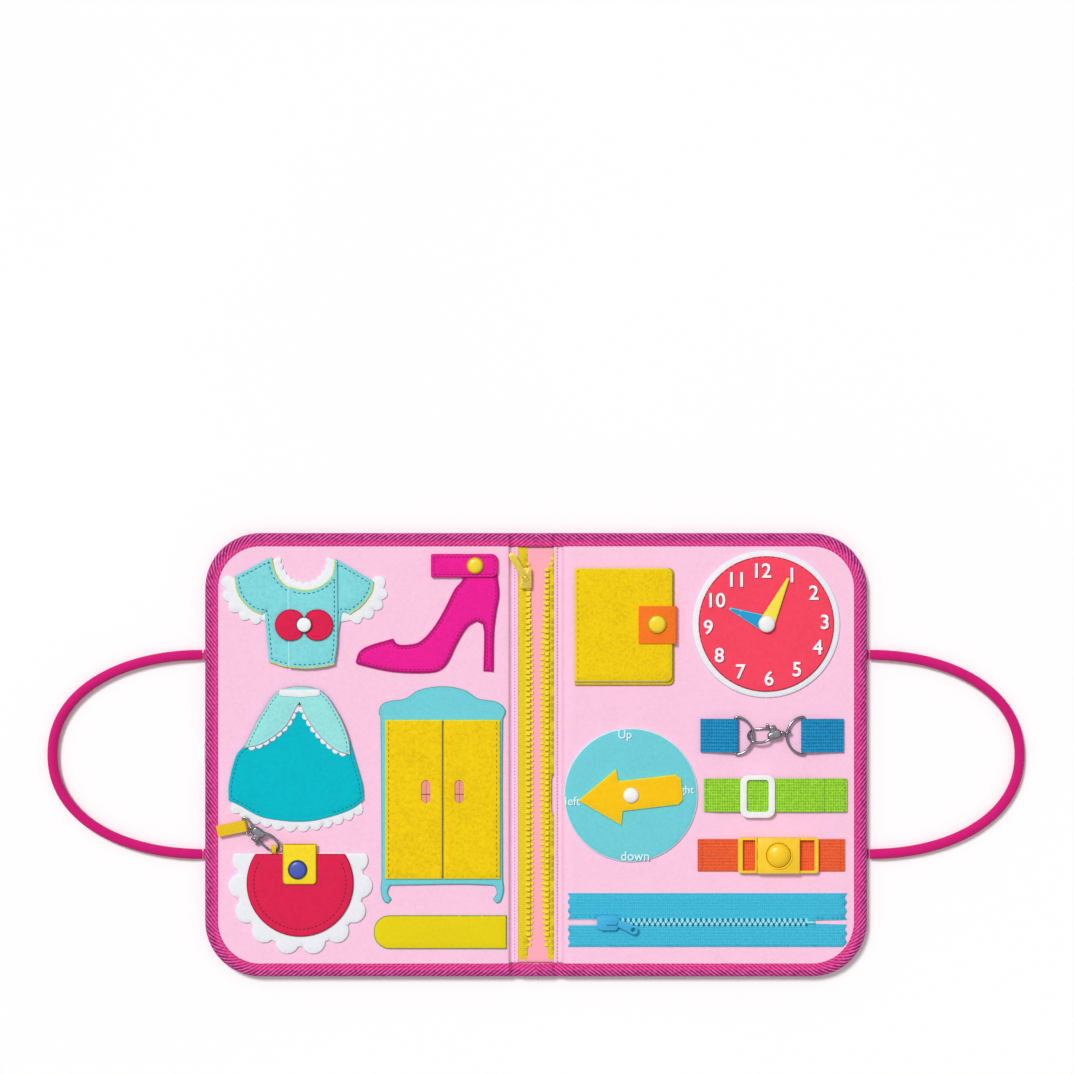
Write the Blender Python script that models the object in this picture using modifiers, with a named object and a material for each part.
"""Felt busy board that folds up into a small handbag, modelled open and flat with its inside up.

X runs along the board's length, Y along its depth, Z is up and the floor is at zero.
All sizes are in metres.
"""

import math

import bmesh
import bpy
from mathutils import Vector

OBJECT_NAME = "felt_busy_board"

# Clearances and mesh settings
REST_GAP = 0.0003
SIDE_GAP = 0.0003
MERGE_DISTANCE = 0.00001
CUT_OVERRUN = 0.002
ROUND_STEPS = 32
CORNER_STEPS = 5
TURN_STEPS = 24
HOLE_STEPS = 10
FOLD_STEPS = 6
LOOP_STEPS = 8
EMPTY_SIZE = 0.01

# Board as a whole
BOARD_LENGTH = 0.418
BOARD_DEPTH = 0.280
CORNER_RADIUS = 0.035
FOLD_LINE = 0.016
COVER_SETBACK = 0.0012
COVER_START = FOLD_LINE + COVER_SETBACK
FOLD_LIP_THICKNESS = 0.00025
BOARD_EDGE = BOARD_LENGTH / 2
HALF_DEPTH = BOARD_DEPTH / 2

# Layers from the floor up
PAD_THICKNESS = 0.0030
SKIN_THICKNESS = 0.0008
PANEL_THICKNESS = 0.0033
FELT_THICKNESS = 0.0012
BOND_DEPTH = 0.0002
SKIN_LOW = PAD_THICKNESS + REST_GAP
SKIN_TOP = SKIN_LOW + SKIN_THICKNESS
PANEL_LOW = SKIN_TOP + REST_GAP
PANEL_TOP = PANEL_LOW + PANEL_THICKNESS
BASE_LOW = PANEL_TOP + REST_GAP
LEVEL_STEP = FELT_THICKNESS + REST_GAP

# Edge binding, a channel folded round the covers' edges
BINDING_WIDTH = 0.0085
BINDING_WALL = 0.0012
BINDING_LIP = 0.0006
BINDING_LOW = SKIN_LOW - REST_GAP - BINDING_LIP
BINDING_TOP = PANEL_TOP + REST_GAP + BINDING_LIP
COVER_INSET = BINDING_WALL + SIDE_GAP

# Handles and the pads that hold them
HANDLE_RADIUS = 0.00325
HANDLE_HALF_SPREAD = 0.063
HANDLE_REACH = 0.0968
HANDLE_ROUNDNESS = 2.15
HANDLE_AXIS_OUT = 0.005
HANDLE_END_REACH = 0.003
HANDLE_END_ROUND = 0.0016
HANDLE_END_SHARES = (0.385, 0.87, 1.0)
HANDLE_BEND_LIMIT = 85
HANDLE_STEPS = 40
PAD_NECK_REACH = 0.00145
PAD_NECK_HALF = 0.0032
PAD_NECK_THICKNESS = 0.0020
PAD_NECK_LENGTH = 0.0093
PAD_FLARE = 0.022
PAD_FLARE_SHARES = ((0, 0), (0.3, 0.16), (0.6, 0.6), (0.8, 0.86), (1, 1))
PAD_HALF_WIDTH = 0.0145
PAD_STRAIGHT = 0.0475

# Closing loop and button on the outside
ELASTIC_AXIS_OUT = 0.0012
ELASTIC_END_MARGIN = 0.061
ELASTIC_END = BOARD_EDGE - ELASTIC_END_MARGIN
ELASTIC_SIDES = (-0.0063, 0.0076)
ELASTIC_SLIT = (0.0004, 0.0021)
ELASTIC_JOINED = 0.005
ELASTIC_THICKNESS = 0.0010
CLOSURE_BUTTON_MARGIN = 0.031
CLOSURE_BUTTON_AT = (BOARD_EDGE - CLOSURE_BUTTON_MARGIN, 0)
CLOSURE_BUTTON_RADIUS = 0.0075
CLOSURE_BUTTON_SHARES = ((0, 0.35), (0.68, 0.35), (0.76, 0.1), (0.9, 0), (1, 0.3), (0.95, 0.85), (0.8, 1),
                         (0, 1))
CLOSURE_HOLES = 4
CLOSURE_HOLE_RADIUS = 0.0009
CLOSURE_HOLE_SPREAD = 0.0016

# Spine
SPINE_SKIN_HALF = 0.0157
SPINE_FELT_LEFT = -0.0112
SPINE_FELT_RIGHT = 0.0094
SPINE_FELT_TOP = 0.0056
SPINE_END_HALF = 0.0102
ZIP_TAPE_THICKNESS = 0.0005
ZIP_BEAD_HEIGHT = 0.0020
ZIP_OVERLAP = 0.0004
LEFT_ZIP_EDGES = (-0.0099, -0.0064, -0.0038)
RIGHT_ZIP_EDGES = (0.0054, 0.0080, SPINE_FELT_RIGHT)
TAPE_NEAR_MARGIN = 0.0105
TAPE_FAR_MARGIN = 0.0090
TEETH_NEAR_MARGIN = 0.0270
RIGHT_TEETH_FAR_MARGIN = 0.0230
TAPE_NEAR_END = TAPE_NEAR_MARGIN - HALF_DEPTH
TAPE_FAR_END = HALF_DEPTH - TAPE_FAR_MARGIN
TEETH_NEAR_END = TEETH_NEAR_MARGIN - HALF_DEPTH
SLIDER_FAR_MARGIN = 0.0220
SLIDER_LENGTH = 0.0130
SLIDER_RIGHT = -0.0029
SLIDER_FAR_END = HALF_DEPTH - SLIDER_FAR_MARGIN
SLIDER_NEAR_END = SLIDER_FAR_END - SLIDER_LENGTH
SPINE_SLIDER_BOX = (LEFT_ZIP_EDGES[0], SLIDER_NEAR_END, SLIDER_RIGHT, SLIDER_FAR_END)
LEFT_TAPE = (LEFT_ZIP_EDGES[0], TAPE_NEAR_END, LEFT_ZIP_EDGES[1], TAPE_FAR_END)
LEFT_BEAD = (LEFT_ZIP_EDGES[1], TEETH_NEAR_END, LEFT_ZIP_EDGES[2], SLIDER_NEAR_END)
RIGHT_TAPE = (RIGHT_ZIP_EDGES[1], TAPE_NEAR_END, RIGHT_ZIP_EDGES[2], TAPE_FAR_END)
RIGHT_BEAD = (RIGHT_ZIP_EDGES[0], TEETH_NEAR_END, RIGHT_ZIP_EDGES[1], HALF_DEPTH - RIGHT_TEETH_FAR_MARGIN)
SLIDER_PLATE = 0.0012
SLIDER_CORNER = 0.0012
PULL_POST_X = -0.0069
PULL_POST_MARGIN = 0.0060
PULL_POST_AT = (PULL_POST_X, SLIDER_FAR_END - PULL_POST_MARGIN)
PULL_POST_RADIUS = 0.0012
PULL_POST_HEIGHT = 0.0018
PULL_EYE_RADIUS = 0.0016
PULL_HALF_WIDTH = 0.0022
PULL_LENGTH = 0.0200
PULL_THICKNESS = 0.0010
PULL_ANGLE = 31.2

# Dress: left, bottom, width and height, then outlines as shares of that box
DRESS_BOX = (-0.1898, 0.0549, 0.0873, 0.0700)
DRESS_SHARES = ((0.259, 1), (0.298, 0.837), (0.386, 0.727), (0.5, 0.70), (0.606, 0.727), (0.702, 0.825),
                (0.728, 0.984), (1, 0.782), (0.983, 0.683), (0.912, 0.563), (0.824, 0.486), (0.781, 0.508),
                (0.768, 0.486), (0.719, 0.038), (0.649, 0.016), (0.517, 0), (0.377, 0.011), (0.246, 0.06),
                (0.215, 0.486), (0.219, 0.508), (0.193, 0.486), (0.106, 0.541), (0.027, 0.662), (0, 0.825))
DRESS_FRONT_SHARES = ((0.385, 0.73), (0.5, 0.70), (0.606, 0.727), (0.702, 0.825), (0.728, 0.984), (0.74, 0.97),
                      (0.74, 0.23), (0.719, 0.038), (0.649, 0.016), (0.517, 0), (0.39, 0.01))
DRESS_HINGE_SHARE = 0.74
DRESS_RIGHT_CUSP_SHARES = ((0.836, 0.431), (0.923, 0.458), (1.003, 0.522), (1.057, 0.612), (1.072, 0.72),
                           (1.017, 0.829))
DRESS_NECK_CUSP_SHARES = ((0.677, 1.0), (0.648, 0.874), (0.583, 0.783), (0.504, 0.756), (0.417, 0.783),
                          (0.344, 0.874), (0.315, 1.009))
DRESS_LEFT_CUSP_SHARES = ((-0.054, 0.838), (-0.064, 0.711), (-0.043, 0.594), (0.026, 0.504), (0.106, 0.445),
                          (0.192, 0.431))
DRESS_RIGHT_SHOULDER_SHARES = ((0.97, 0.78), (0.74, 0.95))
DRESS_LEFT_SHOULDER_SHARES = ((0.25, 0.95), (0.03, 0.80))
LACE_THICKNESS = 0.0008
LACE_BULGE_SHARE = 0.28
SCALLOP_SHARES = ((0.2, 0.75), (0.5, 1), (0.8, 0.75))
DRESS_BODY_LIFT = 0.0002
DRESS_BODY_THICKNESS = 0.0018
BOW_BOX = (-0.16445, 0.07215, 0.0367, 0.0199)
BOW_SHARES = ((0, 0.5), (0.06, 0.82), (0.2, 1), (0.36, 0.86), (0.46, 0.68), (0.54, 0.68), (0.64, 0.86), (0.8, 1),
              (0.94, 0.82), (1, 0.5), (0.94, 0.18), (0.8, 0), (0.64, 0.14), (0.54, 0.32), (0.46, 0.32),
              (0.36, 0.14), (0.2, 0), (0.06, 0.18))
BOW_THICKNESS = 0.0015
BOW_SNAP = (-0.1459, 0.0823, 0.0051, 0.0022)
SNAP_SHARES = ((0, 1), (0.5, 0.95), (0.82, 0.78), (1, 0.5), (1, 0), (0, 0))

# Skirt
SKIRT_BOX = (-0.1947, -0.0465, 0.0864, 0.0880)
SKIRT_SHARES = ((0.394, 1), (0.668, 1), (0.801, 0.847), (0.889, 0.647), (0.942, 0.473), (0.987, 0.317),
                (0.996, 0.211), (0.938, 0.161), (0.865, 0.125), (0.755, 0.089), (0.624, 0.06), (0.507, 0.053),
                (0.405, 0.06), (0.266, 0.082), (0.178, 0.118), (0.091, 0.168), (0.01, 0.204), (0.013, 0.326),
                (0.066, 0.527), (0.137, 0.613), (0.261, 0.847))
HEM_CUSP_SHARES = ((0.025, 0.168), (0.091, 0.114), (0.164, 0.078), (0.244, 0.049), (0.324, 0.032),
                   (0.412, 0.017), (0.507, 0.01), (0.602, 0.017), (0.69, 0.028), (0.77, 0.049), (0.85, 0.075),
                   (0.923, 0.107), (0.989, 0.154))
HEM_ROOT_SHARES = ((0.95, 0.26), (0.5, 0.12), (0.06, 0.26))
OVERSKIRT_SHARES = ((0.394, 1), (0.668, 1), (0.801, 0.847), (0.889, 0.647), (0.90, 0.53), (0.801, 0.56),
                    (0.711, 0.63), (0.633, 0.717), (0.57, 0.814), (0.53, 0.907), (0.491, 0.839), (0.438, 0.744),
                    (0.349, 0.665), (0.243, 0.604), (0.127, 0.577), (0.137, 0.613), (0.261, 0.847))

# Shoe
SHOE_BOX = (-0.1138, 0.0516, 0.0907, 0.0713)
SHOE_SHARES = ((0.745, 1), (0.745, 0.837), (0.689, 0.746), (0.617, 0.565), (0.536, 0.396), (0.444, 0.279),
               (0.362, 0.253), (0.291, 0.259), (0.26, 0.307), (0.086, 0.24), (0.025, 0.188), (0, 0.097),
               (0.015, 0.078), (0.25, 0.012), (0.475, 0), (0.577, 0.019), (0.638, 0.084), (0.709, 0.265),
               (0.781, 0.409), (0.842, 0.458), (0.883, 0.435), (0.893, 0.357), (0.888, 0.019), (0.96, 0.012),
               (0.964, 0.357), (0.98, 0.539), (1, 0.695), (0.99, 0.837), (0.976, 1))
SHOE_STRAP = (-0.0662, 0.1120, -0.0240, 0.1268)
SHOE_STRAP_CORNER = 0.0030
SHOE_SNAP = (-0.0384, 0.1195, 0.00535, 0.0027)

# Wardrobe
WARDROBE_BOX = (-0.0992, -0.0936, 0.0800, 0.1370)
WARDROBE_SHARES = ((0.014, 0.855), (0, 0.88), (0.021, 0.914), (0.08, 0.931), (0.212, 0.944), (0.313, 0.982),
                   (0.503, 1), (0.679, 0.982), (0.781, 0.944), (0.912, 0.931), (0.978, 0.91), (1, 0.88),
                   (0.978, 0.846), (0.978, 0.115), (0.985, 0.06), (0.96, 0.01), (0.93, 0), (0.90, 0.02),
                   (0.93, 0.05), (0.90, 0.083), (0.09, 0.083), (0.07, 0.05), (0.10, 0.02), (0.07, 0),
                   (0.04, 0.01), (0.015, 0.06), (0.022, 0.115))
DOOR_BOTTOM = -0.0780
DOOR_TOP = 0.0223
LEFT_DOOR = (-0.0951, -0.0595)
RIGHT_DOOR = (-0.0580, -0.0227)
FINGER_SLOT = (0.0058, 0.0146)
FINGER_SLOT_Y = -0.0229
LEFT_SLOT_X = -0.0694
RIGHT_SLOT_X = -0.0484

# Yellow strip below the wardrobe
STRIP_BOX = (-0.1023, -0.1222, -0.0186, -0.1011)
STRIP_CORNER = 0.0100

# Purse and its hanging clasp
PURSE_CENTRE = (-0.1487, -0.0806)
PURSE_RING_RADIUS = 0.0380
PURSE_LOBE_RADIUS = 0.0076
PURSE_LOBES = 10
PURSE_FIRST_LOBE = 158
PURSE_LOBE_PITCH = 24.9
PURSE_LOBE_SWEEP = 95
PURSE_BACK_TOP = -0.0619
PURSE_FRONT_TOP = -0.0622
PURSE_FRONT_RADIUS = 0.0337
PURSE_FLAP = (-0.1596, -0.0813, -0.1382, -0.0557)
PURSE_FLAP_CORNER = 0.0020
PURSE_SNAP = (-0.1501, -0.0719, 0.00615, 0.0020)
PURSE_CLASP_EYE = (-0.1815, -0.0439)
PURSE_CLASP_ANGLE = -38.4
PURSE_CLASP_HEIGHT = 0.0120
PURSE_RIBBON_ANGLE = 12
PURSE_RIBBON_LENGTH = 0.0173
PURSE_RIBBON_HALF = 0.0035
RIBBON_THICKNESS = 0.0006
RIBBON_FOLD = 0.0012
PURSE_LOOP_ANGLE = -36.9
PURSE_LOOP_FOLD = 0.0017
PURSE_LOOP_THICKNESS = 0.0004
PURSE_LOOP_HALF = 0.0012
PURSE_LOOP_END = -0.0660

# Lobster clasp, as shares of its length and width where outlines are meant
CLASP_LENGTH = 0.0245
CLASP_WIDTH = 0.0115
CLASP_BODY_SHARES = ((0.16, -0.16), (0.20, -0.22), (0.30, -0.22), (0.50, -0.02), (0.50, 0.27), (0.22, 0.25),
                     (0.16, 0.18))
CLASP_LUG_SHARES = ((0.28, -0.44), (0.42, -0.47), (0.46, -0.36), (0.44, 0), (0.28, 0))
CLASP_BODY_DEPTH = 0.0028
CLASP_BODY_HEIGHT = 0.0024
HOOK_WIRE = 0.0009
HOOK_CENTRE_SHARE = 0.70
HOOK_REACH_SHARE = 0.30
HOOK_HALF_SHARE = 0.38
HOOK_START = 140
HOOK_END = -62
HOOK_STEPS = 18
HOOK_LIFT = 0.0022
HOOK_LIFT_ANGLE = 44.5
HOOK_LIFT_LIMIT_SHARE = 1.1
GATE_RADIUS = 0.0008
GATE_DEPTH = 0.0020
GATE_TAIL_SHARE = (0.33, -0.33)
GATE_PIVOT_SHARE = (0.36, -0.33)
GATE_TIP_SHARE = (0.815, -0.36)
GATE_NUB_SHARES = ((0.50, -0.36), (0.47, -0.60))
CLASP_NECK_RADIUS = 0.0013
CLASP_NECK_START = 0.0020
CLASP_NECK_END_SHARE = 0.2
EYE_RADIUS = 0.0020
EYE_WIRE = 0.0007
EYE_STEPS = 16
LOOP_BAR_BACK = 0.0025
LOOP_BAR_HALF = 0.0050
LOOP_BAR_DEPTH = 0.0010
LOOP_SHOULDER_BACK = 0.0003
LOOP_SHOULDER_HALF = 0.0049
LOOP_SHOULDER_DEPTH = 0.0008
LOOP_NOSE = 0.0023
LOOP_NOSE_HALF = 0.0008
STRAP_CLASP_EYE = (0.1581, 0.0145)
STRAP_CLASP_ANGLE = 186.5

# Blue straps and their rings
WEBBING_THICKNESS = 0.0011
BLUE_STRAP_Y = 0.01235
BLUE_STRAP_HALF = 0.01045
BLUE_FOLD = 0.0011
BLUE_LEFT = (0.1037, 0.1256)
BLUE_RIGHT = (0.1940, 0.1691)
RING_WIRE = 0.00085
RING_HALF = 0.0117
RING_REACH = 0.0112
RING_RISE = 0.0012
RING_SHARES = ((0, 0.5), (0, 1), (0.24, 0.985), (0.5, 0.88), (0.74, 0.68), (0.92, 0.4), (1, 0.12))

# Green strap and its slider
GREEN_X = (0.1060, 0.1959)
GREEN_Y = (-0.0358, -0.0148)
GREEN_THICKNESS = 0.0010
GREEN_RAISE = 0.0014
GREEN_LEFT_BLOCK_END = 0.1100
GREEN_RIGHT_BLOCK_START = 0.1818
GREEN_SLIDER = (0.1286, -0.0392, 0.1504, -0.0124)
GREEN_SLIDER_CORNER = 0.0050
GREEN_SLIDER_TOP = 0.0016
GREEN_WINDOW = (0.1326, -0.0355, 0.1464, -0.0154)
GREEN_WINDOW_CORNER = 0.0020
GREEN_BAR = (0.1380, 0.1410)
GREEN_SLIDER_LIFT = 0.0001

# Orange straps and their buckle
ORANGE_Y = (-0.0733, -0.0530)
ORANGE_LEFT_X = (0.1019, 0.1389)
ORANGE_RIGHT_X = (0.1661, 0.1948)
BUCKLE_CENTRE = (0.1525, -0.0626)
BUCKLE_Y = (-0.0741, -0.0518)
BUCKLE_CORNER = 0.0020
FRAME_THICKNESS = 0.0030
MALE_X = (0.1271, 0.1390)
MALE_WINDOW = (0.1301, -0.0726, 0.1379, -0.0533)
PRONG_SIDES = (0.0036, 0.0074)
PRONG_END = 0.1600
PRONG_TAPER = 0.0030
PRONG_THICKNESS = 0.0020
PRONG_LIFT = 0.0006
HOUSING_X = (0.1393, 0.1657)
HOUSING_TOP = 0.0142
CAVITY_HALF = 0.0078
CAVITY_END = 0.1610
FEMALE_FRAME_END = 0.1778
FEMALE_WINDOW = (0.1661, -0.0726, 0.1753, -0.0533)
BUTTON_HOLE_RADIUS = 0.0079
BUTTON_RING_RADIUS = 0.0088
BUTTON_RING_HEIGHT = 0.0009
BUTTON_RADIUS = 0.0076
BUTTON_HEIGHT = 0.0034
BUTTON_DOME_SHARES = ((0, 1), (0.45, 0.93), (0.8, 0.68), (1, 0.3), (1, 0))
BUTTON_UNDERSIDE = 0.0132
BUTTON_STEM_RADIUS = 0.0025
BUTTON_STEM_LENGTH = 0.0022

# Blue zip
ZIP_TAPE = (0.0199, -0.1210, 0.1962, -0.0872)
ZIP_TAPE_CUT = 0.0028
ZIP_Y = -0.1055
ZIP_BEAD = (0.0500, 0.1704)
ZIP_BEAD_HALF = 0.00125
ZIP_BEAD_RISE = 0.0015
ZIP_STOP_END = 0.1759
ZIP_STOP_HALF = 0.0016
ZIP_LEFT_SLIT = (0.0040, 0.0457)
ZIP_RIGHT_SLIT = (0.0030, 0.1760)
ZIP_SLIDER = (0.0384, 0.0530)
ZIP_SLIDER_HALF = 0.00475
ZIP_SLIDER_NOSE = 0.0030
ZIP_BRIDGE = (0.0440, 0.0510)
ZIP_BRIDGE_HALF = 0.0009
ZIP_BRIDGE_HEIGHT = 0.0019
ZIP_PULL_AXIS_X = 0.0516
ZIP_PULL_AXIS_Z = 0.0136
ZIP_PULL_LENGTH = 0.0134
ZIP_PULL_HALVES = (0.0020, 0.00275)
ZIP_PULL_ANGLE = -24
ZIP_PULL_TIP_SWEEP = 60
ZIP_PULL_HOLE = (0.0105, 0.0014)
ZIP_PULL_LIFT = 0.0004

# Book
BOOK_BACK = (0.0244, 0.0439, 0.0871, 0.1179)
BOOK_PAGE = (0.0250, 0.0460, 0.0840, 0.1165)
BOOK_FRONT = (0.0244, 0.0465, 0.0857, 0.1179)
BOOK_CORNER = 0.0036
PAGE_THICKNESS = 0.0008
BOOK_TAB = (0.0646, 0.0705, 0.0886, 0.0940)
BOOK_SNAP = (0.0761, 0.0827, 0.0060, 0.0022)

# Clock
CLOCK_CENTRE = (0.1451, 0.0827)
CLOCK_RIM_RADIUS = 0.0465
CLOCK_FACE_RADIUS = 0.0427
CLOCK_STEPS = 64
HAND_THICKNESS = 0.0008
HAND_HOLE_RADIUS = 0.00235
HAND_TIP_HALF = 0.0008
HAND_HUB_ANGLES = (80, 280)
HOUR_LENGTH = 0.0250
HOUR_HALF = 0.0052
HOUR_ANGLE = 157.3
MINUTE_LENGTH = 0.0317
MINUTE_HALF = 0.0050
MINUTE_ANGLE = 64.7
PIVOT_POST_RADIUS = 0.0020
CLOCK_CAP_RADIUS = 0.00525
PIVOT_CAP_HEIGHT = 0.0021
PIVOT_CAP_SHARES = ((0, 1), (0.55, 0.93), (0.88, 0.65), (1, 0.25), (1, 0))

# Direction dial
DIAL_CENTRE = (0.0598, -0.0252)
DIAL_RADIUS = 0.0422
DIAL_CAP_RADIUS = 0.0049
ARROW_BOX = (-0.0333, -0.0190, 0.0660, 0.0356)
ARROW_SHARES = ((0, 0.439), (0.363, 1), (0.385, 0.784), (0.931, 0.901), (0.985, 0.823), (1, 0.446), (0.961, 0.367),
                (0.427, 0.248), (0.413, 0))

# Finishes: colour as display values, then roughness and metallic
FINISHES = {
    "felt_pink": ((0.98, 0.77, 0.88), 0.95, 0),
    "spine_felt": ((1.0, 0.67, 0.73), 0.95, 0),
    "binding": ((0.78, 0.16, 0.51), 0.75, 0),
    "outer_skin": ((0.94, 0.76, 0.86), 0.35, 0),
    "handle": ((0.80, 0.10, 0.45), 0.80, 0),
    "elastic_white": ((0.95, 0.95, 0.96), 0.80, 0),
    "plastic_white": ((0.96, 0.96, 0.96), 0.30, 0),
    "zip_yellow": ((0.92, 0.82, 0.16), 0.60, 0),
    "zip_metal": ((0.85, 0.70, 0.30), 0.30, 1),
    "felt_aqua": ((0.43, 0.80, 0.80), 0.95, 0),
    "felt_teal": ((0.0, 0.74, 0.80), 0.95, 0),
    "felt_mint": ((0.59, 0.88, 0.88), 0.95, 0),
    "felt_crimson": ((0.84, 0.12, 0.24), 0.95, 0),
    "felt_magenta": ((0.92, 0.12, 0.59), 0.95, 0),
    "felt_yellow": ((0.94, 0.78, 0.04), 0.95, 0),
    "felt_cyan": ((0.43, 0.80, 0.84), 0.95, 0),
    "felt_white": ((0.92, 0.93, 0.96), 0.95, 0),
    "felt_orange": ((0.98, 0.45, 0.16), 0.95, 0),
    "felt_red": ((0.98, 0.27, 0.35), 0.95, 0),
    "hand_blue": ((0.08, 0.61, 0.82), 0.60, 0),
    "hand_yellow": ((0.96, 0.88, 0.27), 0.60, 0),
    "ribbon_yellow": ((0.98, 0.80, 0.10), 0.50, 0),
    "clasp_metal": ((0.80, 0.80, 0.82), 0.20, 1),
    "webbing_blue": ((0.10, 0.51, 0.76), 0.80, 0),
    "webbing_green": ((0.55, 0.84, 0.16), 0.80, 0),
    "webbing_orange": ((0.96, 0.33, 0.14), 0.80, 0),
    "buckle_yellow": ((0.98, 0.80, 0.12), 0.30, 0),
    "zip_blue": ((0.18, 0.69, 0.82), 0.70, 0),
    "slider_blue": ((0.16, 0.62, 0.85), 0.35, 0),
}


def clear_scene():
    """Remove every object of the starting scene."""
    for obj in list(bpy.data.objects):
        bpy.data.objects.remove(obj)


def new_collection(name):
    """Make a collection in the scene."""
    group = bpy.data.collections.new(name)
    bpy.context.scene.collection.children.link(group)
    return group


clear_scene()
PARTS = new_collection(OBJECT_NAME)
CUTTERS = new_collection("cutters")


def linear(value):
    """Turn one display colour value into the linear value that a material takes."""
    if value <= 0.04045:
        return value / 12.92
    return ((value + 0.055) / 1.055) ** 2.4


def finish(name):
    """Return the named material, made on its first use."""
    if name in bpy.data.materials:
        return bpy.data.materials[name]
    colour, roughness, metallic = FINISHES[name]
    material = bpy.data.materials.new(name)
    material.use_nodes = True
    shader = material.node_tree.nodes["Principled BSDF"]
    shader.inputs["Base Color"].default_value = (*[linear(value) for value in colour], 1)
    shader.inputs["Roughness"].default_value = roughness
    shader.inputs["Metallic"].default_value = metallic
    return material


def add_object(name, data, slot=None):
    """Put a new object in the parts collection, with its material."""
    obj = bpy.data.objects.new(name, data)
    PARTS.objects.link(obj)
    if slot:
        data.materials.append(finish(slot))
    return obj


def world_place(obj):
    """Add up an object's own place and those of its parents."""
    place = Vector(obj.location)
    while obj.parent:
        obj = obj.parent
        place = place + obj.location
    return place


def attach(obj, carrier):
    """Parent an object to a carrier and keep its place in the world."""
    obj.location = obj.location - world_place(carrier)
    obj.parent = carrier
    return obj


def pivot(name, at, carrier=None, angle=0):
    """Make an empty on a joint's axis."""
    empty = bpy.data.objects.new(name, None)
    empty.empty_display_size = EMPTY_SIZE
    empty.location = at
    empty.rotation_euler = (0, 0, math.radians(angle))
    PARTS.objects.link(empty)
    if carrier:
        attach(empty, carrier)
    return empty


# Outlines, as lists of points in plan
def arc(centre, radius, start, end, steps):
    """Points along an arc between two angles in degrees."""
    angles = [math.radians(start + (end - start) * step / steps) for step in range(steps + 1)]
    return [(centre[0] + radius * math.cos(angle), centre[1] + radius * math.sin(angle)) for angle in angles]


def circle(centre, radius, steps=ROUND_STEPS):
    """Points round a full circle."""
    return arc(centre, radius, 0, 360, steps)[:-1]


def rectangle(left, bottom, right, top):
    """Corner points of a rectangle, anticlockwise."""
    return [(left, bottom), (right, bottom), (right, top), (left, top)]


def rounded(left, bottom, right, top, radii, steps=CORNER_STEPS):
    """Rectangle with a radius at its left bottom, right bottom, right top and left top corners."""
    corners = ((left, bottom, 1, 1, 180), (right, bottom, -1, 1, 270), (right, top, -1, -1, 0),
               (left, top, 1, -1, 90))
    points = []
    for (x, y, inward_x, inward_y, start), radius in zip(corners, radii):
        if radius:
            centre = (x + inward_x * radius, y + inward_y * radius)
            points += arc(centre, radius, start, start + 90, steps)
        else:
            points.append((x, y))
    return points


def from_shares(box, shares):
    """Points given as shares of a box's width and height."""
    left, bottom, width, height = box
    return [(left + width * across, bottom + height * up) for across, up in shares]


def scalloped(points, bulge=LACE_BULGE_SHARE):
    """Join points by small bulges on the right-hand side of the way they run."""
    path = [points[0]]
    for (x1, y1), (x2, y2) in zip(points, points[1:]):
        along, across = x2 - x1, y2 - y1
        for share, height in SCALLOP_SHARES:
            path.append((x1 + along * share + across * bulge * height,
                         y1 + across * share - along * bulge * height))
        path.append((x2, y2))
    return path


def turn_points(points, angle, about=(0, 0)):
    """Turn points about a centre by an angle in degrees."""
    cosine, sine = math.cos(math.radians(angle)), math.sin(math.radians(angle))
    return [(about[0] + (x - about[0]) * cosine - (y - about[1]) * sine,
             about[1] + (x - about[0]) * sine + (y - about[1]) * cosine) for x, y in points]


def on_side(points, side):
    """Mirror points to the left when the side is minus one."""
    return [(side * x, y) for x, y in points]


# Solids
def plate(name, outline, low, high, slot=None, at=(0, 0), holes=()):
    """Flat sheet of an outline between two heights, with holes right through it."""
    curve = bpy.data.curves.new(name, "CURVE")
    curve.dimensions = "2D"
    curve.fill_mode = "BOTH"
    curve.resolution_u = 1
    curve.extrude = (high - low) / 2
    for points in (outline, *holes):
        spline = curve.splines.new("POLY")
        spline.points.add(len(points) - 1)
        for point, (x, y) in zip(spline.points, points):
            point.co = (x - at[0], y - at[1], 0, 1)
        spline.use_cyclic_u = True
    obj = add_object(name, curve, slot)
    obj.location = (at[0], at[1], (low + high) / 2)
    return obj


def side_plate(name, profile, middle, half_width, slot=None, angle=0):
    """Sheet whose profile stands upright along X and Z, as wide as stated across it."""
    obj = plate(name, profile, -half_width, half_width, slot)
    obj.location = middle
    obj.rotation_euler = (math.radians(90), 0, math.radians(angle))
    return obj


def turned(name, profile, at, slot=None, steps=TURN_STEPS):
    """Solid turned about its upright axis from radii and heights, listed from the top down."""
    mesh = bpy.data.meshes.new(name)
    points = [(radius, 0, height) for radius, height in profile]
    mesh.from_pydata(points, [(index, index + 1) for index in range(len(points) - 1)], [])
    obj = add_object(name, mesh, slot)
    obj.location = at
    screw = obj.modifiers.new("Turn", "SCREW")
    screw.steps = steps
    screw.render_steps = steps
    screw.use_merge_vertices = True
    screw.merge_threshold = MERGE_DISTANCE
    return obj


def cylinder(name, centre, radius, low, high, slot=None, steps=TURN_STEPS):
    """Upright round bar."""
    height = high - low
    return turned(name, [(0, height), (radius, height), (radius, 0), (0, 0)], (*centre, low), slot, steps)


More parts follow.
